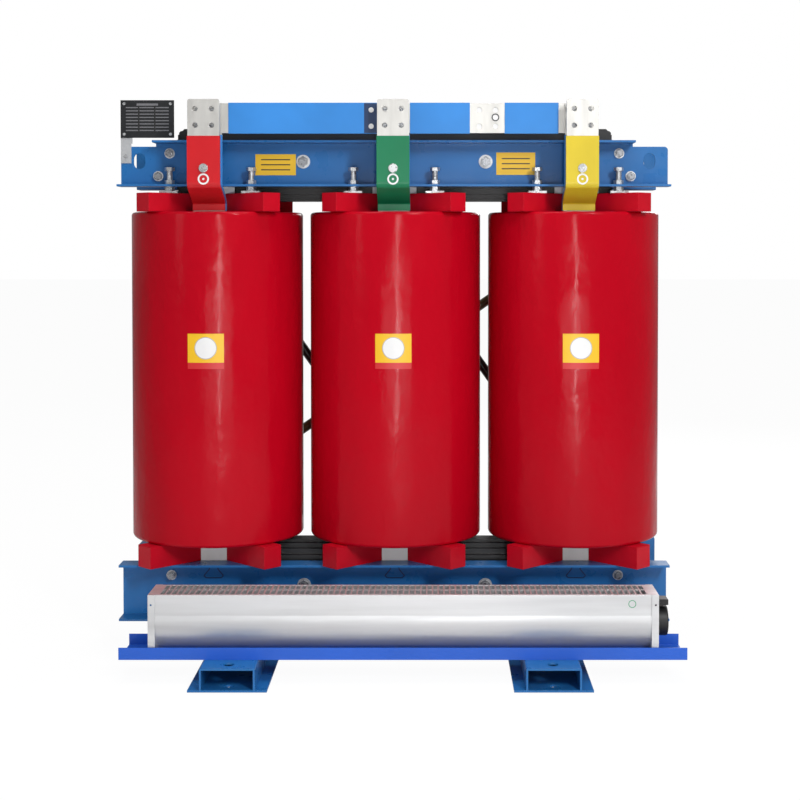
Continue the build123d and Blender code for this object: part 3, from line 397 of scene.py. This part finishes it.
# ---------------------------------------------------------------- marks on the busbars
PHASE_MARK_RISE = 0.082  # from the sleeve's lower edge
PHASE_RING, PHASE_DOT = (0.015, 0.0105), 0.003
for phase in "cba":
    low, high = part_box(f"phase_sleeve_{phase}")
    here = on_plane(centre(low, high)[0], low.y, low.z + PHASE_MARK_RISE)
    label(f"phase_mark_{phase}_ring", disc(*PHASE_RING), here, "white")
    label(f"phase_mark_{phase}_dot", disc(PHASE_DOT), here, "white")

NEUTRAL_MARK_X, NEUTRAL_MARK_RISE = 0.275, 0.002
NEUTRAL_DISC, NEUTRAL_RING = 0.011, (0.0105, 0.0075)
# A navy patch on the neutral sleeve is a painted shadow of the middle phase's terminal, and two
# white discs on it are painted light spots where light passes through the terminal's holes.
SHADOW_X, SHADOW_WIDTH = -0.062, 0.034
SHADOW_LIFT = 0.0015  # thickness of the sleeve that the painted shadow lies on
LIGHT_SPOT_RADIUS, LIGHT_SPOT_SIDE, LIGHT_SPOT_RISE = 0.007, 0.002, 0.022
low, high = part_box("neutral_bar")
bar_z = centre(low, high)[1]
here = on_plane(NEUTRAL_MARK_X, low.y, bar_z + NEUTRAL_MARK_RISE)
label("neutral_mark_disc", disc(NEUTRAL_DISC), here, "white")
label("neutral_mark_ring", disc(*NEUTRAL_RING), here, "black", 1)
here = on_plane(SHADOW_X, low.y - SHADOW_LIFT, bar_z)
label("neutral_painted_shadow", rect(SHADOW_WIDTH, high.z - low.z), here, "navy")
for name, rise in (("upper", LIGHT_SPOT_RISE), ("lower", -LIGHT_SPOT_RISE)):
    light_spot = disc(LIGHT_SPOT_RADIUS, at=(LIGHT_SPOT_SIDE, rise))
    label(f"neutral_painted_light_spot_{name}", light_spot, here, "white", 1)

# ---------------------------------------------------------------- seams round the dovetail keys
SEAM_WIDTH = 0.003
KEY_SIDE = [(-0.012, 0), (-0.012, -0.018), (-0.027, -0.036), (-0.021, -0.042)]
KEY = KEY_SIDE + [(-u, v) for u, v in reversed(KEY_SIDE)]
seam = [quad for a, b in zip(KEY, KEY[1:]) for quad in stroke(a, b, SEAM_WIDTH)]
clamp_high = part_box("lower_clamp_front")[1]
for phase in "cba":
    x = centre(*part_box(f"core_leg_{phase}"))[0]
    here = on_plane(x, clamp_high.y - SHEET, clamp_high.z - SHEET)
    label(f"key_seam_{phase}", seam, here, "navy")

# ---------------------------------------------------------------- nameplate print
HEADING_WIDTH, HEADING_HEIGHT, HEADING_RISE = 0.40, 0.006, 0.040  # width: share of the plate's
ROWS_WIDTH, ROWS_PITCH, ROWS_COUNT = 0.80, 0.009, 8
GAP_WIDTH, GAP_HEIGHT = 0.004, 0.072
GAP_SIDES = (-0.16, 0.14)  # shares of the plate's width
low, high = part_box("nameplate")
x, z = centre(low, high)
here = on_plane(x, low.y, z)
width = high.x - low.x
heading = rect(width * HEADING_WIDTH, HEADING_HEIGHT, (0, HEADING_RISE))
gaps = [quad for u in GAP_SIDES for quad in rect(GAP_WIDTH, GAP_HEIGHT, (u * width, 0))]
label("nameplate_heading", heading, here, "grey")
label("nameplate_bars", bars(width * ROWS_WIDTH, ROWS_PITCH, ROWS_COUNT), here, "grey")
label("nameplate_gaps", gaps, here, "black", 1)

# ---------------------------------------------------------------- fan details
FACE_INSET = 0.0023  # a little too deep: the casing's face hides layer 0 by 0.25 mm
CREASE_Z, CREASE_WIDTH = 0.172, 0.0022
FAN_LABEL = (0.032, 0.023)
FAN_LABEL_SIDE, FAN_LABEL_DROP = 0.046, 0.020  # from the casing's left end and top
FAN_MARK, FAN_MARK_RING = 0.010, 0.0082
FAN_MARK_SIDE, FAN_MARK_DROP = 0.050, 0.022  # from the casing's right end and top
low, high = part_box("fan_casing")
face_y = low.y + FACE_INSET
crease = stroke((0, 0), (high.x - low.x, 0), CREASE_WIDTH)
label("fan_crease", crease, on_plane(low.x, face_y, CREASE_Z), "silver")
here = on_plane(low.x + FAN_LABEL_SIDE, face_y, high.z - FAN_LABEL_DROP)
label("fan_label_field", rect(*FAN_LABEL), here, "yellow")
here = on_plane(high.x - FAN_MARK_SIDE, face_y, high.z - FAN_MARK_DROP)
label("fan_mark_disc", disc(FAN_MARK), here, "white")
label("fan_mark_ring", disc(FAN_MARK, FAN_MARK_RING), here, "green", 1)

# ---------------------------------------------------------------- floor and world
FLOOR_REACH, FLOOR_Z = 40.0, -0.001
FLOOR_ROUGHNESS = 0.9
FLOOR_GLOW = 0.93  # share of the floor that the camera sees as plain white
FLOOR_WHITE = 1.03
AMBIENT, REFLECTED = 0.25, 0.30  # world strength for lighting and for reflections

corners = ((-1, -1), (1, -1), (1, 1), (-1, 1))
floor_mesh = bpy.data.meshes.new("floor")
floor_mesh.from_pydata(
    [(u * FLOOR_REACH, v * FLOOR_REACH, FLOOR_Z) for u, v in corners], [], [(0, 1, 2, 3)]
)
floor = bpy.data.objects.new("floor", floor_mesh)
bpy.context.collection.objects.link(floor)
ground = Shader("floor", FLOOR_ROUGHNESS)
nodes, links = ground.tree.nodes, ground.tree.links
glow = nodes.new("ShaderNodeEmission")
glow.inputs["Color"].default_value = (1, 1, 1, 1)
glow.inputs["Strength"].default_value = FLOOR_WHITE
share = nodes.new("ShaderNodeMath")
share.operation = "MULTIPLY"
share.inputs[1].default_value = FLOOR_GLOW
mix = nodes.new("ShaderNodeMixShader")
links.new(nodes.new("ShaderNodeLightPath").outputs["Is Camera Ray"], share.inputs[0])
links.new(share.outputs[0], mix.inputs["Fac"])
links.new(ground.bsdf.outputs[0], mix.inputs[1])
links.new(glow.outputs[0], mix.inputs[2])
links.new(mix.outputs[0], nodes["Material Output"].inputs["Surface"])
floor_mesh.materials.append(ground.mat)

world = bpy.data.worlds.new("studio")
bpy.context.scene.world = world
world.use_nodes = True
nodes, links = world.node_tree.nodes, world.node_tree.links
back = nodes["Background"]
back.inputs["Color"].default_value = (1, 1, 1, 1)
ray = nodes.new("ShaderNodeLightPath").outputs
strength = None
for seen_by, level in (
    ("Is Glossy Ray", REFLECTED),
    ("Is Transmission Ray", 1.0),
    ("Is Camera Ray", 1.0),
):
    scaled = nodes.new("ShaderNodeMath")
    scaled.operation = "MULTIPLY"
    scaled.inputs[1].default_value = level
    links.new(ray[seen_by], scaled.inputs[0])
    most = nodes.new("ShaderNodeMath")
    most.operation = "MAXIMUM"
    most.inputs[1].default_value = AMBIENT
    links.new(scaled.outputs[0], most.inputs[0])
    if strength:
        links.new(strength, most.inputs[1])
    strength = most.outputs[0]
links.new(strength, back.inputs["Strength"])

# ---------------------------------------------------------------- lights and camera
MIDDLE = (0, 0, 0.75)
SOFTBOXES = {  # place, what it faces, size, watts
    "key": ((2.2, -4.4, 3.3), MIDDLE, (0.5, 1.4), 135),
    "strip": ((0.35, -5.2, 0.72), (0, 0, 0.72), (0.16, 1.4), 26),
    "fill": ((-3.6, -3.4, 2.0), MIDDLE, (0.8, 2.0), 10),
    "low": ((0.3, -5.0, 0.5), (0, 0, 0.3), (3.0, 0.6), 22),
    "top": ((0, -0.8, 4.2), MIDDLE, (3.0, 2.0), 70),
    "rear": ((1.5, 4.0, 2.6), MIDDLE, (2.0, 2.0), 60),
}
SENSOR, LENS = 36.0, 66.28  # millimetres
SHIFT = (-0.04, -0.15)
EYE, LOOK = (0.104, -4.196, 1.129), (0.0, 1.0, -0.026)


def facing(direction):
    return direction.to_track_quat("-Z", "Y").to_euler()


for name, (at, target, size, watts) in SOFTBOXES.items():
    lamp = bpy.data.lights.new(name, "AREA")
    lamp.shape = "RECTANGLE"
    lamp.size, lamp.size_y = size
    lamp.energy = watts
    obj = bpy.data.objects.new(name, lamp)
    obj.location = at
    obj.rotation_euler = facing(Vector(target) - Vector(at))
    bpy.context.collection.objects.link(obj)

camera = bpy.data.cameras.new("camera")
camera.sensor_width = SENSOR
camera.lens = LENS
camera.shift_x, camera.shift_y = SHIFT
eye = bpy.data.objects.new("camera", camera)
eye.location = EYE
eye.rotation_euler = facing(Vector(LOOK))
bpy.context.collection.objects.link(eye)
bpy.context.scene.camera = eye
bpy.context.scene.view_settings.view_transform = "Standard"
